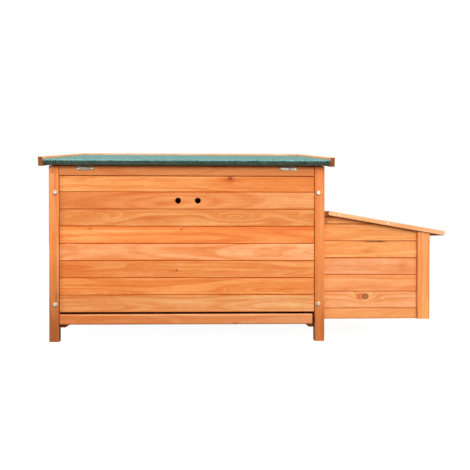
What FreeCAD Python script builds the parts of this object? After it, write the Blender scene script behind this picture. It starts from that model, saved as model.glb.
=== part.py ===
import FreeCAD, Part

import math
import os

Vec = FreeCAD.Vector

# A small wooden hen house with a nest box on its right side.  All sizes are in millimetres.
# House frame used below: x = 0 at the middle of the house, y = 0 at the outer face of the low
# rear wall, z = 0 on the ground.  The row frame has its origin under the middle of the whole
# object, so every solid is shifted by SHIFT when it is saved.

# ---- driving dimensions: house ----
HOUSE_W = 926.0          # over the posts
HOUSE_D = 660.0          # rear face to front face
POST_W = 33.2            # along x
POST_D = 28.0            # along y
BOARD_T = 10.0           # thickness of every wall board
BOARD_PITCH = 58.5       # cover height of a wall board
BOARD_GAP = 0.4
GROOVE = 1.6             # chamfer beside each board joint
WALL_Z = 96.0            # lower edge of the side and front boards
REAR_ROWS = 8
REAR_FACE = 2.5          # the rear boards lie between the posts, this far behind their faces
REAR_Z = 99.1            # lower edge of the rear boards
REAR_PITCH = 57.74
REAR_SEAM = 1.5          # open seam between the rear boards and a post
VENT_X = (-31.8, 34.5)
VENT_R = 9.9
INNER_BATTEN = 20.0
FRONT_ROWS = 10
RAIL_H = 32.0            # rear top rail below its front top edge
RAIL_SEAM = 1.5
FRONT_RAIL_H = 40.0
SILL_Z0 = 58.0           # front bottom rail
EDGE_R = 2.2             # eased edge of a post
JOINT = 0.2              # clearance where two fixed timbers meet end to end
BLANK_Z = 800.0          # height of an upright before the roof slope cuts it
SIDE_RAIL_H = 32.0       # side top rails, square to the roof slope's height
BATTEN_RISE = (2.0, 32.0)   # inner batten, above the lower edge of the rear boards

# ---- driving dimensions: roof ----
SLOPE = math.radians(9.6)
EAVE = 14.0              # overhang past the rear face
EAVE_Z = 590.0           # underside of the roof at the eave
ROOF_RUN = 729.0         # roof depth in plan
ROOF_SIDE = 31.0         # overhang past each side
DECK_T = 18.0
FELT_T = 2.5
FELT_ROUND = 6.5         # outer radius of the felt where it folds over the eave
TRIM_T = 15.0
TRIM_TOP = 28.0          # above the underside of the deck
TRIM_LIP = 2.5           # below it
SEAT_GAP = 2.0           # deck to post tops, which is where the hinge leaf lies
BATTEN = 20.0            # half width and height of the battens under the deck
BATTEN_X = 250.0
BATTEN_SPAN = (85.0, 610.0)

# ---- driving dimensions: hinges ----
LEAF_L = 57.0
LEAF_T = 1.5
PIN_R = 1.5
PIN_PLAY = 0.05          # radial running clearance
BARREL_CLEAR = 0.3       # barrel to the surface that its leaf lies on
LEAF_CLEAR = 0.1
KNUCKLE = 19.0
AXIAL_GAP = 0.4
ROOF_BARREL_R = 3.2
ROOF_LEAF_W = 12.5
ROOF_HINGE_X = (-342.0, 340.4)
LID_BARREL_R = 3.0
LID_LEAF_W = 12.0
LID_HINGE_Y = (130.0, 530.0)
SCREW_APART = 21.0       # from the middle of a leaf to its screws
SCREW_IN = 8.0           # from the pin line to the screws
DECK_SCREW_IN = 9.0
DECK_SCREW = (1.5, 10.0)          # shank radius and length
HINGE_SCREW = (2.9, 1.0, 1.5)     # head radius, head height, shank radius
RAIL_SCREW_L = 16.0
LEDGER_SCREW_L = 12.0
LID_SCREW_L = 11.0

# ---- driving dimensions: dropping tray ----
BAR_X = (-428.6, 422.6)
BAR_Y = (-3.0, 15.0)
BAR_Z = (57.9, 92.4)
BAR_EDGE = 4.5
PAN_HALF = 417.5
PAN_Z = 59.2             # underside of the pan, just clear of its runners
PAN_END = 610.0
PAN_H = 29.0
PAN_T = 1.0
RUNNER_W = 24.0
RUNNER_Z = (44.5, 58.0)
RUNNER_CHAMFER = 9.0
RUNNER_SHORT = 10.0      # runner end to the front boards
TRAY_SCREW = (3.5, 1.5, 1.6, 14.0)
TRAY_SCREW_X = (-380.0, -130.0, 130.0, 380.0)
TRAY_SCREW_UP = 17.0     # above the underside of the pan

# ---- driving dimensions: perch ----
PERCH = 28.0
PERCH_Z = 235.0
PERCH_R = 6.0
CLEAT = (14.0, 24.0, 30.0)        # thickness, half width, height

# ---- driving dimensions: pop door in the front wall ----
HOLE_HALF = 110.0
HOLE_ROWS = (1, 4)       # first and last board row that the opening cuts
DOOR_HALF = 122.0
DOOR_Z = (146.0, 400.0)
DOOR_PLAY = 1.0
GUIDE_W = 15.0
GUIDE_TOP = 650.0
GUIDE_LAP = 10.0
DOOR_BATTEN_Z = (188.0, 358.0)
DOOR_BATTEN = (4.0, 13.0, 10.0)   # clear of the guides, half height, thickness
DOOR_PLANKS = 4
GUIDE_T = 8.0            # guide strip in front of the door
SILL_H = 20.0
KNOB = [(0, 0), (6, 0), (6, 9), (12, 15), (13, 20), (9, 25), (0, 26)]   # radius and height

# ---- driving dimensions: nest box ----
NEST_OUT = 827.0         # outer face of its corner posts
NEST_Y = (20.0, 640.0)
NEST_ROWS = (72.4, 109.0, 166.5, 224.0, 281.5, 339.0, 396.5, 454.0)
CORNER_W = 42.0
CORNER_D = 30.0
CORNER_PROUD = 10.0
LID_SLOPE = math.radians(9.8)
LID_Y = (5.0, 655.0)
LID_AXIS = (477.5, 441.5)
LID_END = 405.5          # along the slope, from the hinge axis
LID_START = 4.0
LID_H = 15.0             # height of the lid's edge trims
LID_TRIM_T = 12.0
LID_FELT_T = 2.0
ENTRY_PIER = 52.0        # wall left beside each nest entry
LEDGER = (463.3, 477.0, 424.0, 440.5)
BRACKET = (13.5, 398.0, 410.5)   # width, lower and upper end
BRACKET_T = 1.5
BRACKET_LEG = 14.0
NEST_WALL_IN = 22.0      # outer boards behind the outer face of the corner posts
NEST_FLOOR_UP = 3.0      # above the lower edge of the boards
NEST_FLOOR_T = 9.0
NEST_DIVIDER = (10.0, 320.0)      # thickness and top
NEST_BATTEN = (18.0, 400.0)       # size and top
NEST_CLEAR = 0.3         # floor to the walls round it
LID_SEAT = 0.7           # lid to the nest walls
LID_NAIL = (2.8, 0.8, 1.0, 24.0)
LID_NAIL_ALONG = (38.5, 207.5)
LID_NAIL_DOWN = 9.0      # below the top of the trim

# ---- driving dimensions: connector bolts ----
BOLT = (7.4, 4.0, 3.0, 56.0)      # head radius, head height, shank radius, shank length
SOCKET = (2.9, 1.6)               # corner radius, height of its floor
BOLT_X = 442.0
REAR_BOLT_Z = (125.6, 501.0)
FRONT_BOLT_Z = (125.6, 610.0)

SIDE_X = HOUSE_W / 2
INNER_X = SIDE_X - POST_W
FRONT_BOARD_Y = HOUSE_D - POST_D - BOARD_T
SIDE_Y0 = POST_D
SIDE_Y1 = FRONT_BOARD_Y
TILT = math.tan(SLOPE)
ROOF_HALF = SIDE_X + ROOF_SIDE
ROOF_LEN = ROOF_RUN / math.cos(SLOPE)
EAVE_TOP = EAVE + TRIM_TOP * math.sin(SLOPE)
OVERALL_X = (-ROOF_HALF, LID_AXIS[0] + LID_END * math.cos(LID_SLOPE))
OVERALL_Y = (-EAVE_TOP, ROOF_RUN - EAVE + TRIM_LIP * math.sin(SLOPE))
SHIFT = Vec(-sum(OVERALL_X) / 2, -sum(OVERALL_Y) / 2, 0)
BIG = 2000.0
SMALL_GAP = 0.3


# ---- helpers ----
def box(x0, x1, y0, y1, z0, z1):
    return Part.makeBox(x1 - x0, y1 - y0, z1 - z0, Vec(x0, y0, z0))


def prism(points, along):
    """A closed outline of points, swept by the vector along."""
    wire = Part.makePolygon(points + [points[0]])
    return Part.Face(wire).extrude(along)


def rod(radius, start, end):
    along = end.sub(start)
    return Part.makeCylinder(radius, along.Length, start, along)


def eased(shape, radius, direction):
    """Rounds the straight edges that run along one direction."""
    edges = []
    for edge in shape.Edges:
        line = edge.Vertexes[-1].Point.sub(edge.Vertexes[0].Point)
        if line.Length > 0 and abs(line.normalize().dot(direction)) > 0.999:
            edges.append(edge)
    return shape.makeFillet(radius, edges)


def rounded_at(shape, radius, spot):
    """Rounds the one edge whose middle is nearest to a spot."""
    edge = min(shape.Edges, key=lambda e: e.CenterOfMass.distanceToPoint(spot))
    return shape.makeFillet(radius, [edge])


def roof_point(x, along, up):
    """A point in the roof's own frame: along its slope from the eave, and up from its underside."""
    y = -EAVE + along * math.cos(SLOPE) - up * math.sin(SLOPE)
    z = EAVE_Z + along * math.sin(SLOPE) + up * math.cos(SLOPE)
    return Vec(x, y, z)


def roof_block(x0, x1, a0, a1, n0, n1):
    corners = [roof_point(x0, a, n) for a, n in ((a0, n0), (a1, n0), (a1, n1), (a0, n1))]
    return prism(corners, Vec(x1 - x0, 0, 0))


def lid_point(y, along, up):
    """A point in the nest lid's frame: down its slope from the hinge axis, and up from that axis."""
    x = LID_AXIS[0] + along * math.cos(LID_SLOPE) + up * math.sin(LID_SLOPE)
    z = LID_AXIS[1] - along * math.sin(LID_SLOPE) + up * math.cos(LID_SLOPE)
    return Vec(x, y, z)


def lid_block(y0, y1, a0, a1, n0, n1):
    corners = [lid_point(y0, a, n) for a, n in ((a0, n0), (a1, n0), (a1, n1), (a0, n1))]
    return prism(corners, Vec(0, y1 - y0, 0))


def under_roof(shape):
    """Cuts a post, rail or board to the slope that the roof rests on."""
    return shape.cut(roof_block(-BIG, BIG, -BIG, BIG, -SEAT_GAP, BIG))


def under_lid(shape):
    """Cuts a nest box wall to the slope of its lid, and clears the ledger."""
    trimmed = shape.cut(lid_block(-BIG, BIG, -BIG, BIG, -LID_H - LID_SEAT, BIG))
    x0, x1, z0, z1 = LEDGER
    return trimmed.cut(box(x0 - 1, x1 + SMALL_GAP, -BIG, BIG, z0 - SMALL_GAP, z1 + 10))


def board_y(x0, x1, y, z0, z1, face):
    """A wall board that lies along x, grooved on its outer face; face is -1 for rear, +1 for front."""
    inner = y if face > 0 else y + BOARD_T
    outer = inner + face * BOARD_T
    low, high = z0 + BOARD_GAP / 2, z1 - BOARD_GAP / 2
    shoulder = outer - face * GROOVE
    outline = [(inner, low), (shoulder, low), (outer, low + GROOVE),
               (outer, high - GROOVE), (shoulder, high), (inner, high)]
    return prism([Vec(x0, b, c) for b, c in outline], Vec(x1 - x0, 0, 0))


def board_x(x, y0, y1, z0, z1, face):
    """A wall board that lies along y, grooved on its outer face; face is -1 for left, +1 for right."""
    inner = x if face > 0 else x + BOARD_T
    outer = inner + face * BOARD_T
    low, high = z0 + BOARD_GAP / 2, z1 - BOARD_GAP / 2
    shoulder = outer - face * GROOVE
    outline = [(inner, low), (shoulder, low), (outer, low + GROOVE),
               (outer, high - GROOVE), (shoulder, high), (inner, high)]
    return prism([Vec(a, y0, c) for a, c in outline], Vec(0, y1 - y0, 0))


def placed(shape, origin, x_to, y_to, z_to):
    """Turns a shape so that its own axes point along three given directions."""
    turn = FreeCAD.Matrix(x_to.x, y_to.x, z_to.x, origin.x,
                          x_to.y, y_to.y, z_to.y, origin.y,
                          x_to.z, y_to.z, z_to.z, origin.z,
                          0, 0, 0, 1)
    moved = shape.copy()
    moved.Placement = FreeCAD.Placement(turn)
    return moved


def leaf(barrel_r, width, outer_knuckles):
    """A butt hinge leaf: the pin lies along x, and the plate runs along y, tangent to the barrel."""
    half, mid = LEAF_L / 2, KNUCKLE / 2
    if outer_knuckles:
        spans = [(-half, -mid - AXIAL_GAP), (mid + AXIAL_GAP, half)]
    else:
        spans = [(-mid, mid)]
    top = barrel_r - LEAF_CLEAR
    shape = box(-half, half, barrel_r + 0.6, width, top - LEAF_T, top)
    for x0, x1 in spans:
        shape = shape.fuse(box(x0, x1, 0, barrel_r + 1.0, top - LEAF_T, top))
        shape = shape.fuse(rod(barrel_r - BARREL_CLEAR, Vec(x0, 0, 0), Vec(x1, 0, 0)))
    bore = rod(PIN_R + PIN_PLAY, Vec(-half - 1, 0, 0), Vec(half + 1, 0, 0))
    return shape.cut(bore).removeSplitter()


def hinge_pin():
    half = LEAF_L / 2 + 0.6
    return rod(PIN_R, Vec(-half, 0, 0), Vec(half, 0, 0))


def screw(head_r, head_h, shank_r, shank_l):
    """A pan head screw whose head stands on z = 0, with its shank down."""
    head = Part.makeCylinder(head_r, head_h)
    head = head.makeFillet(head_h * 0.6, [head.Edges[0]])
    shank = Part.makeCylinder(shank_r, shank_l + 0.5, Vec(0, 0, -shank_l))
    return head.fuse(shank)


def connector_bolt():
    """A furniture bolt: a domed head with a hexagon socket."""
    corner_r, floor_z = SOCKET
    corners = [(corner_r * math.cos(k * math.pi / 3), corner_r * math.sin(k * math.pi / 3)) for k in range(6)]
    socket = prism([Vec(a, b, floor_z) for a, b in corners], Vec(0, 0, BOLT[1]))
    return screw(*BOLT).cut(socket)


def save(name, *solids):
    group = solids[0] if len(solids) == 1 else Part.makeCompound(list(solids))
    moved = group.copy()
    moved.translate(SHIFT)
    moved.exportStep("parts/" + name + ".step")
    volume = sum(s.Volume for s in moved.Solids) / 1000
    print(f"{name:26s} {len(moved.Solids):3d} solids {volume:9.1f} cm3 valid {moved.isValid()}")


# ---- the four walls ----
def wall_post(sign, y0):
    x0 = INNER_X if sign > 0 else -SIDE_X
    blank = box(x0, x0 + POST_W, y0, y0 + POST_D, 0, BLANK_Z)
    return under_roof(eased(blank, EDGE_R, Vec(0, 0, 1)))


def rear_wall():
    save("rear_post_left", wall_post(-1, 0))
    save("rear_post_right", wall_post(1, 0))
    half = INNER_X - RAIL_SEAM
    save("rear_top_rail", under_roof(box(-half, half, 0, POST_D, EAVE_Z - RAIL_H, BLANK_Z)))
    vent_row = REAR_ROWS - 2
    rows = [row for row in range(REAR_ROWS) if row != vent_row]
    save("rear_boards", *[rear_board(row) for row in rows])
    vent_z = REAR_Z + REAR_PITCH * (vent_row + 0.5)
    vent_board = rear_board(vent_row)
    for vent_x in VENT_X:
        vent_board = vent_board.cut(rod(VENT_R, Vec(vent_x, 0, vent_z), Vec(vent_x, 60, vent_z)))
    save("rear_vent_board", vent_board)
    y0 = REAR_FACE + BOARD_T + SMALL_GAP
    y1 = POST_D - JOINT
    inner = INNER_X - INNER_BATTEN
    low, high = (REAR_Z + rise for rise in BATTEN_RISE)
    battens = [box(-inner + SMALL_GAP, inner - SMALL_GAP, y0, y1, low, high)]
    for x0, x1 in ((-INNER_X + JOINT, -inner), (inner, INNER_X - JOINT)):
        battens.append(box(x0, x1, y0, y1, REAR_Z + JOINT, EAVE_Z - RAIL_H - SMALL_GAP))
    save("rear_inner_battens", *battens)


def rear_board(row):
    z0 = REAR_Z + REAR_PITCH * row
    z1 = min(z0 + REAR_PITCH, EAVE_Z - RAIL_H - 1.2)
    half = INNER_X - REAR_SEAM
    return board_y(-half, half, REAR_FACE, z0, z1, -1)


def front_wall():
    y0 = HOUSE_D - POST_D
    save("front_post_left", wall_post(-1, y0))
    save("front_post_right", wall_post(1, y0))
    span = INNER_X - JOINT
    top = EAVE_Z + (HOUSE_D + EAVE) * TILT
    save("front_top_rail", under_roof(box(-span, span, y0, HOUSE_D, top - FRONT_RAIL_H, BLANK_Z)))
    save("front_bottom_rail", box(-span, span, y0, HOUSE_D, SILL_Z0, WALL_Z))
    boards = []
    for row in range(FRONT_ROWS):
        z0 = WALL_Z + BOARD_PITCH * row
        z1 = z0 + BOARD_PITCH if row < FRONT_ROWS - 1 else BLANK_Z
        spans = [(-SIDE_X, SIDE_X)]
        if HOLE_ROWS[0] <= row <= HOLE_ROWS[1]:
            spans = [(-SIDE_X, -HOLE_HALF), (HOLE_HALF, SIDE_X)]
        for x0, x1 in spans:
            boards.append(under_roof(board_y(x0, x1, FRONT_BOARD_Y, z0, z1, 1)))
    save("front_boards", *boards)


def side_stile(sign, y0):
    x0 = INNER_X if sign > 0 else -SIDE_X
    return under_roof(box(x0, x0 + POST_W, y0, y0 + POST_D, RUNNER_Z[0], BLANK_Z))


def side_boards(sign, pierced):
    """Boards behind a side frame, in rows that the roof slope cuts; a pierced wall has two nest entries."""
    x = INNER_X - BOARD_T if sign > 0 else -INNER_X
    middle = HOUSE_D / 2
    y0, y1 = SIDE_Y0 + SMALL_GAP, SIDE_Y1 - SMALL_GAP
    pierced_spans = [(y0, y0 + ENTRY_PIER),
                     (middle - ENTRY_PIER / 2, middle + ENTRY_PIER / 2),
                     (y1 - ENTRY_PIER, y1)]
    boards = []
    for row in range(FRONT_ROWS + 1):
        z0 = WALL_Z + BOARD_PITCH * row
        cut = pierced and HOLE_ROWS[0] <= row <= HOLE_ROWS[1]
        for span in pierced_spans if cut else [(y0, y1)]:
            board = under_roof(board_x(x, span[0], span[1], z0, z0 + BOARD_PITCH, sign))
            if board.Solids and board.Volume > 0:
                boards.append(board.Solids[0])
    return boards


def side_wall(side, sign):
    x0 = INNER_X if sign > 0 else -SIDE_X
    rear_y = SIDE_Y0 + SMALL_GAP
    front_y = SIDE_Y1 - SMALL_GAP - POST_D
    save(side + "_stiles", side_stile(sign, rear_y), side_stile(sign, front_y))
    rail_y = (rear_y + POST_D + JOINT, front_y - JOINT)
    save(side + "_bottom_rail", box(x0, x0 + POST_W, rail_y[0], rail_y[1], RUNNER_Z[0], WALL_Z))
    seat = [Vec(x0, y, EAVE_Z + (y + EAVE) * TILT - drop)
            for y, drop in ((rail_y[0], SIDE_RAIL_H), (rail_y[1], SIDE_RAIL_H), (rail_y[1], 0), (rail_y[0], 0))]
    save(side + "_top_rail", under_roof(prism(seat, Vec(POST_W, 0, 0))))
    save(side + "_boards", *side_boards(sign, sign > 0))
    if sign > 0:
        middle = HOUSE_D / 2
        near, far = middle - POST_D / 2, middle + POST_D / 2
        top = EAVE_Z + (near + EAVE) * TILT - SIDE_RAIL_H - 1
        save("nest_pier_stile", box(x0, x0 + POST_W, near, far, WALL_Z + JOINT, top))


# ---- roof ----
def roof():
    deck_half = ROOF_HALF - TRIM_T
    end = ROOF_LEN - TRIM_T
    inside = deck_half - JOINT
    top = DECK_T + FELT_T
    nose = roof_point(0, FELT_T, DECK_T)
    deck = roof_block(-inside, inside, FELT_T, end, 0, DECK_T)
    save("roof_deck", rounded_at(deck, FELT_ROUND - FELT_T, nose))
    outline = [(0, 0), (FELT_T, 0), (FELT_T, DECK_T), (end, DECK_T), (end, top), (0, top)]
    sheet = prism([roof_point(-inside, a, n) for a, n in outline], Vec(2 * inside, 0, 0))
    sheet = rounded_at(sheet, FELT_ROUND, roof_point(0, 0, top))
    save("roof_felt", rounded_at(sheet, FELT_ROUND - FELT_T, nose))
    save("roof_trim_left", roof_block(-ROOF_HALF, -deck_half, 0, ROOF_LEN, -TRIM_LIP, TRIM_TOP))
    save("roof_trim_right", roof_block(deck_half, ROOF_HALF, 0, ROOF_LEN, -TRIM_LIP, TRIM_TOP))
    save("roof_trim_front", roof_block(-inside, inside, end + JOINT, ROOF_LEN, -TRIM_LIP, TRIM_TOP))
    a0, a1 = BATTEN_SPAN
    battens = [roof_block(x - BATTEN, x + BATTEN, a0, a1, -BATTEN, 0) for x in (-BATTEN_X, BATTEN_X)]
    save("roof_battens", *battens)


def roof_axis():
    """The pin line of the roof hinges, tangent to the rail's face and to the deck's underside."""
    y = -ROOF_BARREL_R
    z = EAVE_Z + (y + EAVE) * TILT - ROOF_BARREL_R / math.cos(SLOPE)
    return Vec(0, y, z)


def roof_hinges():
    """Two butt hinges: one leaf on the rear top rail, the other under the deck."""
    axis = roof_axis()
    east = Vec(1, 0, 0)
    up_slope = Vec(0, math.cos(SLOPE), math.sin(SLOPE))
    normal = Vec(0, -math.sin(SLOPE), math.cos(SLOPE))
    fixed, moving, pins, low_screws, deck_screws = [], [], [], [], []
    for x in ROOF_HINGE_X:
        place = axis.add(Vec(x, 0, 0))
        fixed.append(placed(leaf(ROOF_BARREL_R, ROOF_LEAF_W, True), place, east, Vec(0, 0, -1), Vec(0, 1, 0)))
        moving.append(placed(leaf(ROOF_BARREL_R, ROOF_LEAF_W, False), place, east, up_slope, normal))
        pins.append(placed(hinge_pin(), place, east, Vec(0, 1, 0), Vec(0, 0, 1)))
        for dx in (-SCREW_APART, SCREW_APART):
            spot = Vec(x + dx, -LEAF_T - LEAF_CLEAR, axis.z - SCREW_IN)
            low_screw = screw(*HINGE_SCREW, RAIL_SCREW_L)
            low_screws.append(placed(low_screw, spot, east, Vec(0, 0, 1), Vec(0, -1, 0)))
            offset = normal * (ROOF_BARREL_R - LEAF_CLEAR - LEAF_T)
            spot = place.add(Vec(dx, 0, 0)).add(up_slope * DECK_SCREW_IN).add(offset)
            deck_screws.append(rod(DECK_SCREW[0], spot, spot.add(normal * DECK_SCREW[1])))
    save("roof_hinge_rail_leaves", *fixed)
    save("roof_hinge_deck_leaves", *moving)
    save("roof_hinge_deck_screws", *deck_screws)
    return pins, low_screws


# ---- dropping tray ----
def tray():
    bar = box(BAR_X[0], BAR_X[1], BAR_Y[0], BAR_Y[1], BAR_Z[0], BAR_Z[1])
    save("tray_front_bar", bar.makeFillet(BAR_EDGE, bar.Edges))
    z0 = PAN_Z
    y0 = BAR_Y[1] + JOINT
    outside = box(-PAN_HALF, PAN_HALF, y0, PAN_END, z0, z0 + PAN_H)
    inside = box(-PAN_HALF + PAN_T, PAN_HALF - PAN_T, y0 + PAN_T, PAN_END - PAN_T, z0 + PAN_T, z0 + PAN_H + 1)
    save("tray_pan", outside.cut(inside))
    runners = []
    low, high = RUNNER_Z
    outline = [(JOINT, low), (RUNNER_W - RUNNER_CHAMFER, low), (RUNNER_W, low + RUNNER_CHAMFER),
               (RUNNER_W, high), (JOINT, high)]
    for sign in (-1, 1):
        corners = [Vec(sign * (INNER_X - inset), SIDE_Y0, z) for inset, z in outline]
        runners.append(prism(corners, Vec(0, SIDE_Y1 - RUNNER_SHORT - SIDE_Y0, 0)))
    save("tray_runners", *runners)
    screws = []
    for x in TRAY_SCREW_X:
        spot = Vec(x, y0 + PAN_T, z0 + TRAY_SCREW_UP)
        screws.append(placed(screw(*TRAY_SCREW), spot, Vec(1, 0, 0), Vec(0, 0, -1), Vec(0, 1, 0)))
    save("tray_screws", *screws)


# ---- perch ----
def perch():
    y = HOUSE_D / 2
    ends = INNER_X - BOARD_T - 0.5
    bar = box(-ends, ends, y - PERCH / 2, y + PERCH / 2, PERCH_Z, PERCH_Z + PERCH)
    save("perch", eased(bar, PERCH_R, Vec(1, 0, 0)))
    thick, half, tall = CLEAT
    top = PERCH_Z - SMALL_GAP
    cleats = []
    for sign in (-1, 1):
        x0, x1 = sorted((sign * (ends - thick), sign * (ends + JOINT)))
        cleats.append(box(x0, x1, y - half, y + half, top - tall, top))
    save("perch_cleats", *cleats)


# ---- pop door ----
def pop_door():
    back = FRONT_BOARD_Y + BOARD_T
    y0 = back + DOOR_PLAY
    y1 = y0 + BOARD_T
    width = 2 * DOOR_HALF / DOOR_PLANKS
    planks = []
    for k in range(DOOR_PLANKS):
        x0 = -DOOR_HALF + k * width
        plank = box(x0 + 0.15, x0 + width - 0.15, y0, y1, DOOR_Z[0], DOOR_Z[1])
        planks.append(eased(plank, 1.2, Vec(0, 0, 1)))
    save("pop_door_planks", *planks)
    clear, rise, thick = DOOR_BATTEN
    half = DOOR_HALF - GUIDE_LAP - clear
    battens = [box(-half, half, y1 + 0.1, y1 + thick, z - rise, z + rise) for z in DOOR_BATTEN_Z]
    save("pop_door_battens", *battens)
    middle = sum(DOOR_Z) / 2
    profile = Part.Face(Part.makePolygon([Vec(r, y1 + 0.1 + h, middle) for r, h in KNOB + KNOB[:1]]))
    knob = profile.revolve(Vec(0, y1, middle), Vec(0, 1, 0), 360)
    save("pop_door_knob", knob)
    spacer_y = (back + 0.1, y1 + DOOR_PLAY)
    pieces = []
    for sign in (-1, 1):
        edge = DOOR_HALF + DOOR_PLAY
        a0, a1 = sorted((sign * edge, sign * (edge + GUIDE_W)))
        b0, b1 = sorted((sign * (DOOR_HALF - GUIDE_LAP), sign * (edge + GUIDE_W)))
        pieces.append(box(a0, a1, spacer_y[0], spacer_y[1], DOOR_Z[0], GUIDE_TOP))
        pieces.append(box(b0, b1, spacer_y[1] + 0.1, spacer_y[1] + GUIDE_T, DOOR_Z[0], GUIDE_TOP))
    edge = DOOR_HALF + DOOR_PLAY + GUIDE_W
    sill_z = (DOOR_Z[0] - SILL_H, DOOR_Z[0] - 0.4)
    pieces.append(box(-edge, edge, spacer_y[0], spacer_y[1] + GUIDE_T, sill_z[0], sill_z[1]))
    save("door_guides_and_sill", *pieces)


# ---- nest box ----
def nest_rows():
    return list(zip(NEST_ROWS[:-1], NEST_ROWS[1:]))


def nest_end_boards(y, face):
    x0, x1 = SIDE_X + 0.5, NEST_OUT - CORNER_W - JOINT
    boards = []
    for z0, z1 in nest_rows():
        board = under_lid(board_y(x0, x1, y, z0, z1, face))
        boards += [solid for solid in board.Solids if solid.Volume > 100]
    return boards


def nest_corner(y0):
    blank = box(NEST_OUT - CORNER_W, NEST_OUT, y0, y0 + CORNER_D, NEST_ROWS[0], BLANK_Z)
    return under_lid(eased(blank, EDGE_R, Vec(0, 0, 1)))


def nest_box():
    near, far = NEST_Y
    save("nest_rear_boards", *nest_end_boards(near, -1))
    save("nest_front_boards", *nest_end_boards(far - BOARD_T, 1))
    rear_corner_y = near - CORNER_PROUD
    front_corner_y = far + CORNER_PROUD - CORNER_D
    save("nest_corner_posts", nest_corner(rear_corner_y), nest_corner(front_corner_y))
    wall_y = (rear_corner_y + CORNER_D + JOINT, front_corner_y - JOINT)
    wall_x = NEST_OUT - NEST_WALL_IN
    boards = []
    for z0, z1 in nest_rows():
        board = under_lid(board_x(wall_x, wall_y[0], wall_y[1], z0, z1, 1))
        boards += [solid for solid in board.Solids if solid.Volume > 100]
    save("nest_outer_boards", *boards)
    floor_z = NEST_ROWS[0] + NEST_FLOOR_UP
    floor_top = floor_z + NEST_FLOOR_T
    inner_y = (near + BOARD_T + NEST_CLEAR, far - BOARD_T - NEST_CLEAR)
    floor = box(SIDE_X + 1, wall_x - NEST_CLEAR, inner_y[0], inner_y[1], floor_z, floor_top)
    for y0 in (rear_corner_y, front_corner_y):
        floor = floor.cut(box(NEST_OUT - CORNER_W - NEST_CLEAR, NEST_OUT, y0 - NEST_CLEAR,
                              y0 + CORNER_D + NEST_CLEAR, 0, BLANK_Z))
    save("nest_floor", floor)
    middle = HOUSE_D / 2
    thick, top = NEST_DIVIDER
    save("nest_divider", box(SIDE_X + 1, wall_x - NEST_CLEAR, middle - thick / 2, middle + thick / 2,
                             floor_top + JOINT, top))
    size, top = NEST_BATTEN
    battens = []
    for y0 in (inner_y[0], inner_y[1] - size):
        battens.append(box(SIDE_X + 0.6, SIDE_X + size, y0, y0 + size, floor_top + JOINT, top))
    save("nest_fixing_battens", *battens)
    x0, x1, z0, z1 = LEDGER
    ledger = box(x0, x1, near - CORNER_PROUD, far + CORNER_PROUD, z0, z1)
    for y in LID_HINGE_Y:
        reach = LEAF_L / 2 + 1
        ledger = ledger.cut(box(x0 - 1, x1 + 1, y - reach, y + reach, LID_AXIS[1] - LID_BARREL_R, z1 + 1))
    save("nest_ledger", ledger)
    save("nest_brackets", *nest_brackets())


def nest_brackets():
    """Small steel angles that tie the nest box walls to the house posts."""
    brackets = []
    for face, sign in ((NEST_Y[0], -1), (NEST_Y[1], 1)):
        x0 = SIDE_X + 0.1
        width, z0, z1 = BRACKET
        y_wall = sorted((face + sign * 0.1, face + sign * (0.1 + BRACKET_T)))
        y_post = sorted((face + sign * 0.1, face + sign * BRACKET_LEG))
        plate = box(x0, x0 + width, y_wall[0], y_wall[1], z0, z1)
        leg = box(x0, x0 + BRACKET_T, y_post[0], y_post[1], z0, z1)
        brackets.append(plate.fuse(leg).removeSplitter())
    return brackets


def nest_lid():
    y0, y1 = LID_Y
    inner = (y0 + LID_TRIM_T, y1 - LID_TRIM_T)
    end = LID_END - LID_TRIM_T
    felt_top = -LID_BARREL_R
    deck_top = felt_top - LID_FELT_T
    deck_y = (inner[0] + JOINT, inner[1] - JOINT)
    save("lid_deck", lid_block(deck_y[0], deck_y[1], LID_START, end, -LID_H, deck_top))
    save("lid_felt", lid_block(deck_y[0], deck_y[1], LID_START, end, deck_top, felt_top))
    for name, a, b in (("lid_trim_rear", y0, inner[0]), ("lid_trim_front", inner[1], y1)):
        long_trim = lid_block(a, b, -LID_START, LID_END, -LID_H, 0)
        save(name, long_trim.cut(box(0, LID_AXIS[0] - 0.1, a, b, 0, BIG)))
    save("lid_trim_outer", lid_block(deck_y[0], deck_y[1], end + JOINT, LID_END, -LID_H, 0))
    nails = []
    for y, sign in ((y0, -1), (y1, 1)):
        for along in LID_NAIL_ALONG:
            spot = lid_point(y, along, -LID_NAIL_DOWN)
            nails.append(placed(screw(*LID_NAIL), spot, Vec(-sign, 0, 0), Vec(0, 0, 1), Vec(0, sign, 0)))
    save("lid_trim_nails", *nails)


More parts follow.
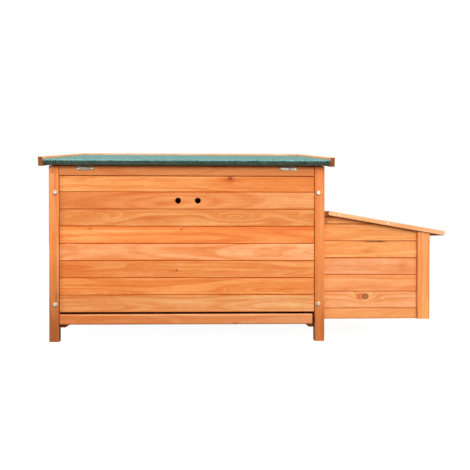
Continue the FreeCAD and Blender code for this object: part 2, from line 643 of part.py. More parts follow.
def lid_hinges():
    """Two butt hinges that lie on the ledger and on the lid."""
    down_slope = Vec(math.cos(LID_SLOPE), 0, -math.sin(LID_SLOPE))
    into_lid = Vec(-math.sin(LID_SLOPE), 0, -math.cos(LID_SLOPE))
    down = Vec(0, 0, -1)
    north = Vec(0, 1, 0)
    fixed, moving, pins, ledger_screws, lid_screws = [], [], [], [], []
    for y in LID_HINGE_Y:
        place = Vec(LID_AXIS[0], y, LID_AXIS[1])
        fixed.append(placed(leaf(LID_BARREL_R, LID_LEAF_W, True), place, Vec(0, -1, 0), Vec(-1, 0, 0), down))
        moving.append(placed(leaf(LID_BARREL_R, LID_LEAF_W, False), place, north, down_slope, into_lid))
        pins.append(placed(hinge_pin(), place, north, Vec(-1, 0, 0), Vec(0, 0, 1)))
        plate_up = LID_BARREL_R - LEAF_CLEAR - LEAF_T
        for dy in (-SCREW_APART, SCREW_APART):
            spot = place.add(Vec(-SCREW_IN, dy, -plate_up))
            ledger_screw = screw(*HINGE_SCREW, LEDGER_SCREW_L)
            ledger_screws.append(placed(ledger_screw, spot, north, Vec(-1, 0, 0), Vec(0, 0, 1)))
            spot = place.add(Vec(0, dy, 0)).add(down_slope * SCREW_IN).add(into_lid * plate_up)
            lid_screw = screw(*HINGE_SCREW, LID_SCREW_L)
            lid_screws.append(placed(lid_screw, spot, north, down_slope * -1, into_lid * -1))
    save("lid_hinge_ledger_leaves", *fixed)
    save("lid_hinge_lid_leaves", *moving)
    save("lid_hinge_lid_screws", *lid_screws)
    return pins, ledger_screws


# ---- connector bolts ----
def connector_bolts():
    bolts = []
    for x in (-BOLT_X, BOLT_X):
        for z in REAR_BOLT_Z:
            bolts.append(placed(connector_bolt(), Vec(x, 0, z), Vec(1, 0, 0), Vec(0, 0, 1), Vec(0, -1, 0)))
        for z in FRONT_BOLT_Z:
            bolts.append(placed(connector_bolt(), Vec(x, HOUSE_D, z), Vec(-1, 0, 0), Vec(0, 0, 1),
                                Vec(0, 1, 0)))
    save("connector_bolts", *bolts)


os.makedirs("parts", exist_ok=True)
rear_wall()
front_wall()
side_wall("left", -1)
side_wall("right", 1)
roof()
tray()
perch()
pop_door()
nest_box()
nest_lid()
roof_pins, rail_screws = roof_hinges()
lid_pins, ledger_screws = lid_hinges()
save("hinge_pins", *roof_pins, *lid_pins)
save("hinge_fixed_leaf_screws", *rail_screws, *ledger_screws)
connector_bolts()
print("roof hinge axis, row frame:", roof_axis().add(SHIFT))
print("lid hinge axis, row frame:", Vec(LID_AXIS[0], HOUSE_D / 2, LID_AXIS[1]).add(SHIFT))
print("shift:", SHIFT)
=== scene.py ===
import math

import bmesh
import bpy
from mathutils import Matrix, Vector


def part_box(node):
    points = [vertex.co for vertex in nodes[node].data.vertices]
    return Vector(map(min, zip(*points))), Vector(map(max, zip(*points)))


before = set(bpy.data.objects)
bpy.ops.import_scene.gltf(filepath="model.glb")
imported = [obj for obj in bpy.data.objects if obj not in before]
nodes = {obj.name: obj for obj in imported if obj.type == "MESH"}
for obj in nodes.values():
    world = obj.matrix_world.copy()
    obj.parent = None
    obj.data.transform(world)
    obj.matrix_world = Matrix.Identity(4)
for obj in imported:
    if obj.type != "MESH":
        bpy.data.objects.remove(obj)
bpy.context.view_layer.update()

scene = bpy.context.scene


# ---------------------------------------------------------------- camera, light and stage
CAMERA_PLACE = (-0.1392, -2.2946, 0.3342)
CAMERA_YAW, CAMERA_PITCH = math.radians(1.458), math.radians(0.476)     # to the right, and down
CAMERA_SHIFT = (0.0366, 0.0258)
LENS, SENSOR = 44.3, 36.0             # millimetres
FLOOR_SIZE, FLOOR_GREY, FLOOR_GLOW = 90.0, 0.30, 0.95


def make_camera():
    """A level product shot of the rear wall, a little right of the house's middle line."""
    data = bpy.data.cameras.new("camera")
    data.sensor_width = SENSOR
    data.lens = LENS
    data.shift_x, data.shift_y = CAMERA_SHIFT
    camera = bpy.data.objects.new("camera", data)
    camera.location = CAMERA_PLACE
    camera.rotation_euler = (math.pi / 2 - CAMERA_PITCH, 0.0, -CAMERA_YAW)
    scene.collection.objects.link(camera)
    scene.camera = camera


def soft_sun(name, azimuth, elevation, strength, angle):
    """Even light from one side. Azimuth 0 is the rear wall's side and 90 the nest box's."""
    data = bpy.data.lights.new(name, "SUN")
    data.energy = strength
    data.angle = math.radians(angle)
    turn, lift = math.radians(azimuth), math.radians(elevation)
    towards = Vector((math.sin(turn) * math.cos(lift), -math.cos(turn) * math.cos(lift), math.sin(lift)))
    light = bpy.data.objects.new(name, data)
    light.rotation_euler = towards.to_track_quat("Z", "Y").to_euler()
    scene.collection.objects.link(light)


def make_world():
    """A white studio dome. It is dim below the horizon, so that undersides go dark."""
    world = bpy.data.worlds.new("studio")
    world.use_nodes = True
    tree = Tree(world.node_tree)
    height = tree.split(tree.node("ShaderNodeTexCoord").outputs["Generated"])[2]
    light = tree.ramp(height, -0.10, -0.02, 0.10, 1.0)
    background = world.node_tree.nodes["Background"]
    background.inputs["Color"].default_value = (1.0, 1.0, 1.0, 1.0)
    tree.feed(background.inputs["Strength"], light)
    scene.world = world


def make_lights():
    soft_sun("key", azimuth=14.0, elevation=33.0, strength=1.95, angle=46.0)
    soft_sun("back_fill", azimuth=196.0, elevation=42.0, strength=0.75, angle=60.0)
    make_world()
    scene.view_settings.view_transform = "Standard"
    scene.cycles.use_denoising = True


def make_stage():
    """A wide white floor, lit a little from below as on a light table."""
    mesh = bpy.data.meshes.new("floor")
    shape = bmesh.new()
    bmesh.ops.create_grid(shape, x_segments=1, y_segments=1, size=FLOOR_SIZE)
    shape.to_mesh(mesh)
    shape.free()
    floor = bpy.data.objects.new("floor", mesh)
    floor.visible_diffuse = False
    floor.visible_glossy = False
    scene.collection.objects.link(floor)
    material = bpy.data.materials.new("white_floor")
    material.use_nodes = True
    shader = material.node_tree.nodes["Principled BSDF"]
    shader.inputs["Base Color"].default_value = (FLOOR_GREY, FLOOR_GREY, FLOOR_GREY, 1.0)
    shader.inputs["Roughness"].default_value = 0.9
    shader.inputs["Specular IOR Level"].default_value = 0.0
    shader.inputs["Emission Color"].default_value = (1.0, 1.0, 1.0, 1.0)
    shader.inputs["Emission Strength"].default_value = FLOOR_GLOW
    mesh.materials.append(material)


# ---------------------------------------------------------------- shader helpers
class Tree:
    """Short names for making shader nodes and joining them."""

    def __init__(self, tree):
        self.tree = tree

    def feed(self, socket, value):
        if isinstance(value, bpy.types.NodeSocket):
            self.tree.links.new(value, socket)
        elif value is not None:
            socket.default_value = value

    def node(self, kind, inputs=(), **settings):
        made = self.tree.nodes.new(kind)
        for key, value in settings.items():
            setattr(made, key, value)
        for key, value in dict(inputs).items():
            self.feed(made.inputs[key], value)
        return made

    def math(self, operation, a, b=None):
        made = self.node("ShaderNodeMath", operation=operation)
        for socket, value in zip(made.inputs, (a, b)):
            self.feed(socket, value)
        return made.outputs[0]

    def add(self, *values):
        total = values[0]
        for value in values[1:]:
            total = self.math("ADD", total, value)
        return total

    def times(self, a, b):
        return self.math("MULTIPLY", a, b)

    def minus(self, a, b):
        return self.math("SUBTRACT", a, b)

    def vector(self, operation, a, b):
        made = self.node("ShaderNodeVectorMath", {0: a, 1: b}, operation=operation)
        return made.outputs["Value" if operation == "DOT_PRODUCT" else "Vector"]

    def split(self, vector):
        return self.node("ShaderNodeSeparateXYZ", {"Vector": vector}).outputs

    def join(self, x, y, z):
        return self.node("ShaderNodeCombineXYZ", {"X": x, "Y": y, "Z": z}).outputs[0]

    def noise(self, vector, factors, detail=2.0, rough=0.5):
        """Noise from about -0.5 to 0.5, with so many waves per metre along each axis."""
        made = self.node("ShaderNodeTexNoise", {"Vector": self.vector("MULTIPLY", vector, factors),
                                                "Scale": 1.0, "Detail": detail, "Roughness": rough})
        return self.minus(made.outputs["Fac"], 0.5)

    def line_noise(self, value, detail=2.0, rough=0.5):
        """The same, from one number."""
        made = self.node("ShaderNodeTexNoise", {"W": value, "Scale": 1.0, "Detail": detail,
                                                "Roughness": rough}, noise_dimensions="1D")
        return self.minus(made.outputs["Fac"], 0.5)

    def ramp(self, value, low, high, to_low=0.0, to_high=1.0, smooth=True):
        made = self.node("ShaderNodeMapRange", {"Value": value, "From Min": low, "From Max": high,
                                                "To Min": to_low, "To Max": to_high})
        made.interpolation_type = "SMOOTHSTEP" if smooth else "LINEAR"
        return made.outputs["Result"]

    def mix(self, share, a, b, blend="MIX"):
        made = self.node("ShaderNodeMix", data_type="RGBA", blend_type=blend)
        for socket, value in zip((made.inputs[0], made.inputs[6], made.inputs[7]), (share, a, b)):
            self.feed(socket, value)
        return made.outputs[2]

    def colour(self, red, green, blue):
        made = self.node("ShaderNodeCombineColor", {"Red": red, "Green": green, "Blue": blue})
        return made.outputs[0]

    def chance(self, value):
        """Three random numbers from 0 to 1 that depend only on the value."""
        made = self.node("ShaderNodeTexWhiteNoise", {"W": value}, noise_dimensions="1D")
        return self.split(made.outputs["Color"])

    def pick(self, value, shades):
        """The shade at value, from 0 for the first to 1 past the last, and its lean."""
        made = self.node("ShaderNodeValToRGB", {"Fac": value})
        steps = made.color_ramp
        steps.interpolation = "CONSTANT"
        steps.elements.remove(steps.elements[1])
        for number, (shade, lean) in enumerate(shades):
            if number:
                steps.elements.new(number / len(shades))
            steps.elements[number].color = (*srgb(*shade)[:3], 0.5 + lean / 2)
        lean = self.ramp(made.outputs["Alpha"], 0.0, 1.0, -1.0, 1.0, smooth=False)
        return made.outputs["Color"], lean

    def dab(self, place, spot):
        """1 in the middle of an oval spot, fading out: (along, across, half length, half height)."""
        x, y, half_length, half_height = spot
        offset = self.vector("SUBTRACT", place, (x, y, 0.0))
        scaled = self.vector("MULTIPLY", offset, (1 / half_length, 1 / half_height, 0.0))
        return self.math("EXPONENT", self.times(self.vector("DOT_PRODUCT", scaled, scaled), -1.0))


def new_material(name):
    material = bpy.data.materials.new(name)
    material.use_nodes = True
    return material, Tree(material.node_tree), material.node_tree.nodes["Principled BSDF"]


def bump(tree, shader, height, distance, strength=1.0):
    made = tree.node("ShaderNodeBump", {"Height": height, "Distance": distance, "Strength": strength})
    tree.feed(shader.inputs["Normal"], made.outputs["Normal"])


def srgb(r, g, b):
    """A colour given as a paint chart gives it, from 0 to 255, as linear light."""
    def linear(c):
        c /= 255.0
        return c / 12.92 if c <= 0.04045 else ((c + 0.055) / 1.055) ** 2.4
    return (linear(r), linear(g), linear(b), 1.0)


# ---------------------------------------------------------------- wood
# Each shade is a board's colour, and how much deeper its stain is at the right end than in the middle.
REAR_SHADES = (
    ((226, 147, 83), -0.40),
    ((232, 135, 64), -0.10),
    ((228, 132, 63), -0.45),
    ((243, 154, 92), -0.10),
    ((245, 141, 67), 0.40),
    ((229, 140, 70), -0.05),
    ((232, 139, 72), -0.45),
    ((240, 144, 71), 0.36),
)
NEST_SHADES = (
    ((240, 160, 95), 0.0),
    ((240, 158, 98), 0.0),
    ((240, 152, 88), -0.1),
    ((240, 157, 100), 0.1),
    ((246, 163, 92), 0.0),
    ((244, 158, 86), 0.0),
    ((240, 152, 80), 0.0),
)
POST_SHADES = (((235, 139, 71), 0.0), ((236, 139, 72), 0.0))
CORNER_SHADES = (((240, 151, 82), 0.0),)
RAIL_SHADES = (((220, 130, 66), 0.0), ((224, 136, 72), 0.0))
BAR_SHADES = (((215, 130, 72), -0.55),)
TRIM_SHADES = (((250, 185, 130), 0.0), ((248, 180, 124), 0.0))
# The far trim gets a darker, greyer copy of the trim's shades: painted shade.
FAR_TRIM_SHADED = (((226, 176, 130), 0.0), ((222, 170, 124), 0.0))

PITCH = srgb(100, 46, 14)
KNOT_RIM = srgb(136, 66, 18)
KNOT = srgb(204, 128, 72)
RED_HALO = srgb(214, 98, 40)
PALE_RING = srgb(252, 184, 120)
END_PALE, END_DARK = srgb(190, 104, 50), srgb(112, 50, 24)

# How strongly more stain dims red, green and blue light.
STAIN = (0.13, 0.42, 0.78)

# Waves per metre of each layer of the pattern: along the grain, across it and into the board.
STREAK_WAVES = (1.8, 110.0, 110.0)
CLOUD_WAVES = (6.0, 26.0, 26.0)
FIBRE_WAVES = (22.0, 620.0, 620.0)
MOTTLE_WAVES = (34.0, 150.0, 150.0)
PORE_WAVES = (300.0, 700.0, 700.0)
RIPPLE_WAVES = (9.0, 70.0, 70.0)
RINGS_PER_M = 120.0

# How much each layer adds to the stain, and how much a shade's lean adds per metre.
RING_STAIN, FLAME_STAIN, STREAK_STAIN, CLOUD_STAIN, MOTTLE_STAIN = 1.5, 0.42, 2.2, 1.9, 1.1
LEAN_PER_M = 2.4

# Extra stain along a board's edges, and how far from the edge it starts and is full.
JOINT_STAIN, JOINT_FADE, JOINT_FULL = 1.5, 0.0026, 0.0008

# A log's heart: how far it wanders sideways and in depth, how far aside it starts, and how far below
# the face.  The rings ripple a little as well.
SWAY, DIVE = 0.040, 0.050
ASIDE = 0.034
HEART_NEAR, HEART_FAR = 0.012, 0.050
RIPPLE = 0.0030
ARC_GAP = 0.0031                      # between the rings on a sawn end

# Painted shade towards the floor: the dark foot of a leg fades out between these heights.  What is left
# of red, green and blue at the bottom of the left and right legs comes after them.
FOOT_LOW, FOOT_HIGH = 0.05, 0.30
LEFT_FOOT_SHADE, RIGHT_FOOT_SHADE = (0.48, 0.46, 0.43), (0.66, 0.55, 0.42)

# Which of x, y, z runs along the grain, across the face and into it.
AXES = {"x": (0, 2, 1), "y": (1, 2, 0), "z": (2, 0, 1), "z_side": (2, 1, 0)}


def lay_out(tree, axis, rows, seed):
    """Where a point is in its own board: along, across from the board's middle, depth, and chance numbers."""
    place = tree.split(tree.node("ShaderNodeTexCoord").outputs["Object"])
    along, across, depth = (place[k] for k in AXES[axis])
    own = tree.node("ShaderNodeAttribute", attribute_type="OBJECT", attribute_name="seed").outputs["Fac"]
    if rows:
        level = tree.math("DIVIDE", tree.minus(across, rows[0]), rows[1])
        board = tree.math("FLOOR", level)
        local = tree.times(tree.minus(tree.math("FRACT", level), 0.5), rows[1])
    else:
        middle = tree.node("ShaderNodeAttribute", attribute_type="OBJECT", attribute_name="middle")
        board = 0.0
        local = tree.minus(across, tree.split(middle.outputs["Vector"])[AXES[axis][1]])
    chance = tree.chance(tree.add(tree.times(board, 1.37), own, seed))
    return along, across, depth, local, board, chance


def ring_distance(tree, run, local, body, chance, face, figures):
    """How far the wood lies from the heart of its log, which wanders below the face.

    Equal distances draw the long arches of a flat-sawn board, and each figure bends them into an eye."""
    sway = tree.times(tree.line_noise(tree.add(tree.times(run, 1.1), 3.0), 1.0), SWAY)
    dive = tree.times(tree.line_noise(tree.add(tree.times(run, 1.5), 31.0), 1.5), DIVE)
    aside = tree.times(tree.minus(chance[1], 0.5), ASIDE)
    sideways = tree.add(local, aside, sway)
    below = tree.add(tree.ramp(chance[2], 0.0, 1.0, HEART_NEAR, HEART_FAR, smooth=False), dive)
    reach = tree.math("SQRT", tree.add(tree.times(sideways, sideways), tree.times(below, below)))
    reach = tree.add(reach, tree.times(tree.noise(body, RIPPLE_WAVES, 3.0), RIPPLE))
    for spot, lift in figures:
        reach = tree.add(reach, tree.times(tree.dab(face, spot), lift))
    return reach


def knotted(tree, colour, face, knots):
    """Round knots, given as (along, across, radius): a light heart, a dark rim, a pale ring, a red flare."""
    for x, y, radius in knots:
        oval = tree.dab(face, (x - radius * 1.2, y, radius * 2.4, radius * 1.4))
        flare = tree.ramp(oval, 0.30, 0.70)
        ring = tree.dab(face, (x + radius * 0.2, y, radius * 1.55, radius * 1.15))
        core = tree.ramp(tree.dab(face, (x, y, radius * 1.2, radius * 0.95)), 0.25, 0.50)
        heart = tree.dab(face, (x + radius * 0.1, y, radius * 0.50, radius * 0.40))
        colour = tree.mix(tree.times(flare, 0.90), colour, RED_HALO)
        colour = tree.mix(tree.times(ring, 0.75), colour, PALE_RING)
        colour = tree.mix(tree.times(core, 0.85), colour, KNOT_RIM)
        colour = tree.mix(tree.times(heart, 0.80), colour, KNOT)
    return colour


def end_grain(tree, colour, axis, reach, depth, body):
    """Sawn ends soak up more stain, and show the rings as arcs."""
    facing = tree.split(tree.node("ShaderNodeTexCoord").outputs["Normal"])
    end = tree.ramp(tree.math("ABSOLUTE", facing[AXES[axis][0]]), 0.70, 0.86)
    arc = tree.math("FRACT", tree.math("DIVIDE", tree.add(reach, tree.times(depth, 0.6)), ARC_GAP))
    pores = tree.noise(body, PORE_WAVES)
    share = tree.add(tree.times(arc, 0.45), tree.times(pores, 0.5), 0.25)
    return tree.mix(end, colour, tree.mix(share, END_PALE, END_DARK)), end


def wood(name, axis, shades, rows=None, ordered=False, seed=0.0, figures=(), knots=(), flecks=(),
         patches=(), foot=None, contrast=1.0):
    """Stained softwood with its grain along one axis.

    rows is (lower edge, height) of boards that lie on each other, so that each board gets its own grain
    and shade, in the order of shades if ordered.  figures are (oval, lift), flecks (oval, share) and
    patches (oval, extra stain); a few patches and one fleck are painted shade, and one patch with less
    stain is a painted highlight.  foot is how much red, green and blue is left at the bottom of a leg,
    as painted shade towards the floor."""
    material, tree, shader = new_material(name)
    along, across, depth, local, board, chance = lay_out(tree, axis, rows, seed)
    run = tree.add(along, tree.times(chance[0], 37.0))
    body = tree.join(run, across, depth)
    face = tree.join(along, across, 0.0)
    reach = ring_distance(tree, run, local, body, chance, face, figures)

    number = tree.math("DIVIDE", tree.add(board, 0.5), float(len(shades))) if ordered else chance[1]
    shade, lean = tree.pick(number, shades)
    middle = WALL_MIDDLE if ordered else 0.0
    rings = tree.line_noise(tree.add(tree.times(reach, RINGS_PER_M), tree.times(chance[2], 50.0)), 4.0, 0.70)
    flame = tree.ramp(rings, -0.05, 0.08, -0.5, 0.5)
    streak = tree.noise(body, STREAK_WAVES, 4.0, 0.72)
    cloud = tree.noise(body, CLOUD_WAVES, 4.0, 0.62)
    fibre = tree.noise(body, FIBRE_WAVES, 4.0, 0.70)
    mottle = tree.noise(body, MOTTLE_WAVES, 3.0, 0.65)
    stain = tree.add(tree.times(rings, RING_STAIN * contrast), tree.times(flame, FLAME_STAIN * contrast),
                     tree.times(streak, STREAK_STAIN * contrast), tree.times(cloud, CLOUD_STAIN * contrast),
                     fibre, tree.times(mottle, MOTTLE_STAIN * contrast),
                     tree.times(lean, tree.times(tree.minus(along, middle), LEAN_PER_M)))
    if rows:
        to_edge = tree.minus(rows[1] / 2, tree.math("ABSOLUTE", local))
        stain = tree.add(stain, tree.ramp(to_edge, JOINT_FADE, JOINT_FULL, 0.0, JOINT_STAIN))
    for spot, extra in patches:
        stain = tree.add(stain, tree.times(tree.dab(face, spot), extra))
    kept = [tree.math("EXPONENT", tree.times(stain, -part)) for part in STAIN]
    colour = tree.mix(1.0, shade, tree.colour(*kept), "MULTIPLY")
    colour = knotted(tree, colour, face, knots)
    for spot, share in flecks:
        colour = tree.mix(tree.times(tree.dab(face, spot), share), colour, PITCH)
    colour, end = end_grain(tree, colour, axis, reach, depth, body)
    # Painted shade: each leg darkens towards the floor.
    if foot is not None:
        height = tree.add(along, tree.times(cloud, 0.05))
        left = [tree.ramp(height, FOOT_LOW, FOOT_HIGH, part, 1.0, smooth=False) for part in foot]
        colour = tree.mix(1.0, colour, tree.colour(*left), "MULTIPLY")
    tree.feed(shader.inputs["Base Color"], colour)
    rough = tree.add(tree.ramp(fibre, -0.2, 0.2, 0.52, 0.66), tree.times(end, 0.2))
    tree.feed(shader.inputs["Roughness"], rough)
    shader.inputs["Specular IOR Level"].default_value = 0.25
    height = tree.add(tree.times(rings, 0.5), tree.times(fibre, 0.8))
    bump(tree, shader, height, distance=0.00035, strength=0.5)
    return material


# ---------------------------------------------------------------- felt and metal
# The darkest and lightest slates of the felt's top, of its brow over the eave (a painted highlight) and of
# the fold below (dark partly in its own colour and partly as painted shade).
TOP_SLATES = (srgb(52, 100, 95), srgb(112, 156, 149))
BROW_HIGHLIGHT_SLATES = (srgb(74, 124, 119), srgb(142, 186, 181))
FOLD_SLATES = (srgb(26, 50, 42), srgb(78, 108, 97))
HEM_BOUNCE_TINT = srgb(74, 58, 38)
HEM_TOP, HEM_BOTTOM = 0.602, 0.592    # heights over which the fold's hem turns brown, painted light bounced from the wood below
GRAINS_PER_M, CLUMPS_PER_M, PATCHES_PER_M = 620.0, 190.0, 26.0

# The light and the dark of each plated part.
HINGE_STEEL = (srgb(190, 178, 160), srgb(120, 108, 96))
SCREW_STEEL = (srgb(250, 242, 226), srgb(196, 184, 166))
# The nails' near-white is partly their bright plating and partly a painted glint.
NAIL_STEEL_AND_GLINT = (srgb(255, 252, 244), srgb(232, 224, 208))
BRACKET_STEEL = (srgb(186, 130, 84), srgb(146, 94, 54))
ZINC_DULL, ZINC_BRIGHT = srgb(150, 156, 160), srgb(206, 210, 212)
SCRATCH_WAVES, BLOOM_WAVES = (240.0, 1900.0, 900.0), (150.0, 150.0, 150.0)
SPANGLES_PER_M = 85.0


def felt(name):
    """Green mineral felt: slate grains pressed into bitumen, with a painted highlight at the brow, painted
    bounce light on the hem, and a fold dark partly in its own colour and partly as painted shade.
    """
    material, tree, shader = new_material(name)
    coord = tree.node("ShaderNodeTexCoord").outputs
    grains = tree.node("ShaderNodeTexVoronoi", {"Vector": coord["Object"], "Scale": GRAINS_PER_M}).outputs
    speck = tree.split(grains["Color"])
    clump = tree.noise(coord["Object"], (CLUMPS_PER_M,) * 3, 3.0, 0.6)
    patch = tree.noise(coord["Object"], (PATCHES_PER_M,) * 3, 3.0, 0.6)
    shade = tree.add(tree.times(speck[0], 0.42), tree.times(clump, 3.0), tree.times(patch, 1.3), 0.28)
    top = tree.mix(shade, *TOP_SLATES)
    fold = tree.mix(shade, *FOLD_SLATES)
    height = tree.split(coord["Object"])[2]
    # Painted bounce light: the fold's hem is browned as by light from the wood below.
    hem_bounce = tree.ramp(tree.add(height, tree.times(clump, 0.006)), HEM_TOP, HEM_BOTTOM, 0.0, 0.7)
    fold = tree.mix(hem_bounce, fold, HEM_BOUNCE_TINT)
    upward = tree.add(tree.split(coord["Normal"])[2], tree.times(clump, 0.5))
    brow = tree.mix(shade, *BROW_HIGHLIGHT_SLATES)
    # Painted highlight on the rounded brow; the fold's slates are dark partly in their own colour and partly
    # as painted shade.
    top = tree.mix(tree.ramp(upward, 1.0, 0.60), top, brow)
    colour = tree.mix(tree.ramp(upward, 0.24, -0.10), top, fold)
    tree.feed(shader.inputs["Base Color"], colour)
    tree.feed(shader.inputs["Roughness"], tree.ramp(speck[1], 0.0, 1.0, 0.76, 0.95, smooth=False))
    shader.inputs["Specular IOR Level"].default_value = 0.2
    height = tree.add(tree.times(grains["Distance"], -0.5), clump)
    bump(tree, shader, height, distance=0.0009, strength=0.7)
    return material


def steel(name, light, dark, rough, metallic=0.8):
    """Zinc-plated steel: fine scratches and a cloudy bloom."""
    material, tree, shader = new_material(name)
    coord = tree.node("ShaderNodeTexCoord").outputs["Object"]
    scratch = tree.noise(coord, SCRATCH_WAVES)
    cloud = tree.noise(coord, BLOOM_WAVES, 3.0, 0.6)
    colour = tree.mix(tree.ramp(tree.add(cloud, tree.times(scratch, 0.5)), -0.2, 0.2), light, dark)
    tree.feed(shader.inputs["Base Color"], colour)
    shader.inputs["Metallic"].default_value = metallic
    tree.feed(shader.inputs["Roughness"], tree.ramp(tree.add(cloud, scratch), -0.3, 0.3, rough - 0.08,
                                                    rough + 0.14))
    bump(tree, shader, scratch, distance=0.0001, strength=0.5)
    return material


def galvanised(name):
    """Galvanised sheet with its patchwork of zinc spangles."""
    material, tree, shader = new_material(name)
    coord = tree.node("ShaderNodeTexCoord").outputs["Object"]
    wave = tree.node("ShaderNodeTexNoise", {"Vector": coord, "Scale": 60.0}).outputs["Color"]
    warped = tree.vector("ADD", coord, tree.vector("MULTIPLY", wave, (0.006, 0.006, 0.006)))
    cells = tree.node("ShaderNodeTexVoronoi", {"Vector": warped, "Scale": SPANGLES_PER_M}).outputs
    cells = tree.split(cells["Color"])
    cloud = tree.noise(coord, (6.0, 6.0, 6.0), 3.0, 0.6)
    shade = tree.add(tree.times(cells[0], 0.6), tree.times(cloud, 0.4), 0.2)
    colour = tree.mix(tree.ramp(shade, 0.2, 0.8), ZINC_DULL, ZINC_BRIGHT)
    tree.feed(shader.inputs["Base Color"], colour)
    shader.inputs["Metallic"].default_value = 1.0
    tree.feed(shader.inputs["Roughness"], tree.ramp(cells[1], 0.0, 1.0, 0.30, 0.52, smooth=False))
    bump(tree, shader, cells[2], distance=0.00008, strength=0.4)
    return material


# ---------------------------------------------------------------- dressing the CAD nodes
WELD = 0.00001
FLAT_ANGLE, SHARP_ANGLE = math.radians(1), math.radians(28)
WOOD_EDGE, STEEL_EDGE, FELT_EDGE = 0.0010, 0.0003, 0.0008     # widths of the rounded edges


def soften(names, width):
    """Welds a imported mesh, joins its flat facets and rounds its sharp edges, as modifiers."""
    for name in names:
        piece = nodes[name]
        weld = piece.modifiers.new("weld", "WELD")
        weld.merge_threshold = WELD
        flat = piece.modifiers.new("flat", "DECIMATE")
        flat.decimate_type = "DISSOLVE"
        flat.angle_limit = FLAT_ANGLE
        bevel = piece.modifiers.new("bevel", "BEVEL")
        bevel.width = width
        bevel.segments = 2
        bevel.limit_method = "ANGLE"
        bevel.angle_limit = SHARP_ANGLE


def paint(names, material):
    for name in names:
        piece = nodes[name]
        if not piece.material_slots:
            piece.data.materials.append(material)
        for slot in piece.material_slots:
            slot.material = material


def give_seeds():
    """Each CAD node carries a number and its own middle, which the wood reads."""
    for number, name in enumerate(sorted(nodes)):
        low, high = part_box(name)
        nodes[name]["seed"] = number * 3.17
        nodes[name]["middle"] = [(a + b) / 2 for a, b in zip(low, high)]


# Lower edge and height of the boards, in metres.
REAR_ROWS = (0.0991, 0.05774)
BOARD_ROWS = (0.096, 0.0585)
NEST_ROWS = (0.0515, 0.0575)
WALL_MIDDLE = -0.1915

# Ovals are (along, height, half length, half height), in metres.
REAR_FIGURES = (
    ((-0.030, 0.4195, 0.070, 0.013), 0.030),
    ((-0.545, 0.4190, 0.120, 0.016), 0.040),
    ((0.260, 0.4200, 0.090, 0.014), 0.020),
    ((-0.600, 0.2480, 0.230, 0.014), 0.024),
    ((-0.640, 0.1880, 0.280, 0.012), 0.020),
    ((0.340, 0.3622, 0.260, 0.014), 0.022),
    ((0.330, 0.3014, 0.150, 0.011), 0.026),
)
REAR_PATCHES = (
    # The first two patches darken the board ends beside the left and right posts.
    ((-0.6215, 0.3300, 0.0110, 0.9000), 0.5),
    ((0.2385, 0.3300, 0.0060, 0.9000), 0.4),
    ((0.300, 0.3622, 0.260, 0.016), -0.5),
    ((0.320, 0.3014, 0.150, 0.010), -0.6),
    ((-0.530, 0.4230, 0.070, 0.010), 0.9),
    ((-0.440, 0.4130, 0.060, 0.008), -0.8),
    ((-0.290, 0.4120, 0.060, 0.011), 0.6),
    ((-0.250, 0.2600, 0.200, 0.006), -0.6),
    ((-0.270, 0.2765, 0.120, 0.0032), 1.5),
    ((-0.035, 0.4195, 0.050, 0.009), 0.4),
    ((-0.160, 0.3600, 0.110, 0.012), 0.35),
    ((-0.047, 0.5430, 0.050, 0.008), 0.7),
    ((-0.047, 0.5460, 0.018, 0.011), 0.9),
)
REAR_FLECKS = (
    # The first fleck darkens the board ends beside the left post.
    ((-0.6150, 0.3300, 0.0100, 0.9000), 0.12),
    ((-0.0471, 0.5500, 0.0062, 0.0056), 0.90),
    ((-0.0560, 0.5440, 0.0080, 0.0030), 0.30),
    ((-0.2124, 0.3779, 0.0045, 0.0030), 0.70),
    ((-0.2283, 0.2409, 0.0036, 0.0030), 0.95),
    ((-0.5180, 0.3798, 0.0065, 0.0026), 0.60),
    ((-0.3400, 0.5500, 0.0120, 0.0022), 0.35),
    ((-0.2960, 0.5480, 0.0070, 0.0022), 0.30),
    ((-0.5000, 0.4330, 0.0050, 0.0022), 0.35),
)
NEST_KNOTS = ((0.4161, 0.1495, 0.0100),)
NEST_FLECKS = (
    ((0.4320, 0.3366, 0.0180, 0.0022), 0.85),
    ((0.4660, 0.3364, 0.0180, 0.0022), 1.00),
    ((0.4500, 0.3384, 0.0450, 0.0014), 0.60),
    ((0.3300, 0.3968, 0.0600, 0.0020), 0.55),
    # This last fleck is painted shade under the lid's near end.
    ((0.2840, 0.4180, 0.0260, 0.0090), 0.25),
)
NEST_FIGURES = (((0.4161, 0.1495, 0.0450, 0.0180), 0.030),)
NEST_PATCHES = (
    # This first patch is painted shade under the lid's near end.
    ((0.284, 0.418, 0.026, 0.010), 1.4),
    ((0.460, 0.150, 0.010, 0.016), 0.6),
    ((0.422, 0.303, 0.022, 0.006), 0.9),
    ((0.442, 0.316, 0.022, 0.005), 0.5),
    ((0.500, 0.270, 0.040, 0.010), -0.5),
    ((0.545, 0.256, 0.018, 0.016), 0.6),
)
# A painted highlight along the bar's top edge, given as less stain.
BAR_TOP_HIGHLIGHT = (((-0.1900, 0.0912, 0.9000, 0.0030), -0.9),)
BAR_FLECKS = (((-0.0310, 0.0600, 0.0080, 0.0035), 0.7), ((-0.2700, 0.0700, 0.0120, 0.0030), 0.2))
# The second patch of each post is painted shade under the eave.
LEFT_POST_PATCHES = (((0.340, -0.638, 0.035, 0.030), 0.40), ((0.576, -0.638, 0.012, 0.030), 0.35))
RIGHT_POST_PATCHES = (((0.310, 0.255, 0.070, 0.030), 0.30), ((0.576, 0.255, 0.012, 0.030), 0.65))
LEFT_POST_FLECKS = (((0.5706, -0.6434, 0.0050, 0.0040), 0.5), ((0.150, -0.630, 0.020, 0.004), 0.3))


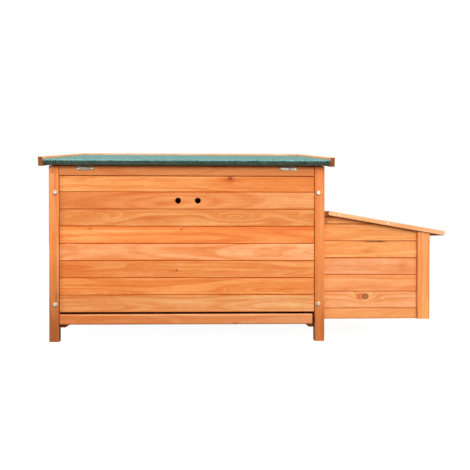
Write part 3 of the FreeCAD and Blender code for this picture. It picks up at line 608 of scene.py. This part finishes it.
def wood_groups():
    """Which wood goes on which CAD nodes."""
    wall = wood("boards_rear", "x", REAR_SHADES, REAR_ROWS, ordered=True, seed=3.0,
                figures=REAR_FIGURES, patches=REAR_PATCHES, flecks=REAR_FLECKS)
    front = wood("boards_front", "x", REAR_SHADES, BOARD_ROWS, seed=11.0)
    side = wood("boards_side", "y", REAR_SHADES, BOARD_ROWS, seed=23.0)
    nest = wood("boards_nest", "x", NEST_SHADES, NEST_ROWS, ordered=True, seed=31.0, contrast=0.8,
                knots=NEST_KNOTS, figures=NEST_FIGURES, patches=NEST_PATCHES, flecks=NEST_FLECKS)
    nest_side = wood("boards_nest_outer", "y", NEST_SHADES, NEST_ROWS, seed=37.0, contrast=0.8)
    post_left = wood("post_left", "z", POST_SHADES[:1], seed=41.0, foot=LEFT_FOOT_SHADE, contrast=0.8,
                     flecks=LEFT_POST_FLECKS, patches=LEFT_POST_PATCHES)
    post_right = wood("post_right", "z", POST_SHADES[1:], seed=43.0, foot=RIGHT_FOOT_SHADE, contrast=0.8,
                      patches=RIGHT_POST_PATCHES)
    bar = wood("tray_bar", "x", BAR_SHADES, ordered=True, seed=45.0, flecks=BAR_FLECKS,
               patches=BAR_TOP_HIGHLIGHT, contrast=0.7)
    rail = wood("rails", "x", RAIL_SHADES, seed=47.0, contrast=0.6)
    rail_side = wood("rails_side", "y", RAIL_SHADES, seed=53.0, contrast=0.6)
    trim = wood("trim_side", "y", TRIM_SHADES, seed=59.0, contrast=0.6)
    trim_across = wood("trim_across", "x", TRIM_SHADES, seed=61.0, contrast=0.6)
    trim_far_shaded = wood("trim_far_shaded", "x", FAR_TRIM_SHADED, seed=63.0, contrast=0.6)
    upright = wood("uprights", "z_side", POST_SHADES, seed=67.0, contrast=0.6)
    corner = wood("nest_corners", "z", CORNER_SHADES, seed=71.0, contrast=0.7)
    return (
        (("rear_boards", "rear_vent_board"), wall),
        (("front_boards",), front),
        (("left_boards", "right_boards"), side),
        (("nest_rear_boards", "nest_front_boards"), nest),
        (("nest_outer_boards",), nest_side),
        (("rear_post_left", "front_post_left"), post_left),
        (("rear_post_right", "front_post_right"), post_right),
        (("nest_corner_posts",), corner),
        (("door_guides_and_sill", "pop_door_planks"), upright),
        (("left_stiles", "right_stiles", "nest_pier_stile", "nest_fixing_battens"), upright),
        (("rear_top_rail", "rear_inner_battens", "front_top_rail", "front_bottom_rail",
          "perch", "perch_cleats", "pop_door_battens", "pop_door_knob", "lid_deck"), rail),
        (("tray_front_bar",), bar),
        (("left_bottom_rail", "left_top_rail", "right_bottom_rail", "right_top_rail", "tray_runners",
          "roof_battens", "nest_ledger", "nest_divider", "nest_floor", "roof_deck"), rail_side),
        (("roof_trim_left", "roof_trim_right", "lid_trim_outer"), trim),
        (("lid_trim_rear", "lid_trim_front"), trim_across),
        (("roof_trim_front",), trim_far_shaded),
    )


def dress_wood():
    give_seeds()
    for names, material in wood_groups():
        paint(names, material)
        soften(names, WOOD_EDGE)


def dress_metal():
    leaves = ("roof_hinge_rail_leaves", "roof_hinge_deck_leaves", "lid_hinge_ledger_leaves",
              "lid_hinge_lid_leaves", "hinge_pins")
    heads = ("hinge_fixed_leaf_screws", "roof_hinge_deck_screws", "lid_hinge_lid_screws",
             "connector_bolts", "tray_screws")
    paint(leaves, steel("hinge_steel", *HINGE_STEEL, rough=0.42))
    paint(heads, steel("zinc_heads", *SCREW_STEEL, rough=0.38))
    paint(("lid_trim_nails",), steel("nails_and_glint", *NAIL_STEEL_AND_GLINT, rough=0.60, metallic=0.2))
    paint(("nest_brackets",), steel("dull_brackets", *BRACKET_STEEL, rough=0.60, metallic=0.2))
    paint(("tray_pan",), galvanised("galvanised_sheet"))
    soften(("roof_hinge_rail_leaves", "lid_hinge_ledger_leaves", "lid_hinge_lid_leaves", "nest_brackets"),
           STEEL_EDGE)


def dress_felt():
    paint(("roof_felt", "lid_felt"), felt("mineral_felt"))
    soften(("roof_felt", "lid_felt"), FELT_EDGE)


make_camera()
make_lights()
make_stage()
dress_wood()
dress_metal()
dress_felt()
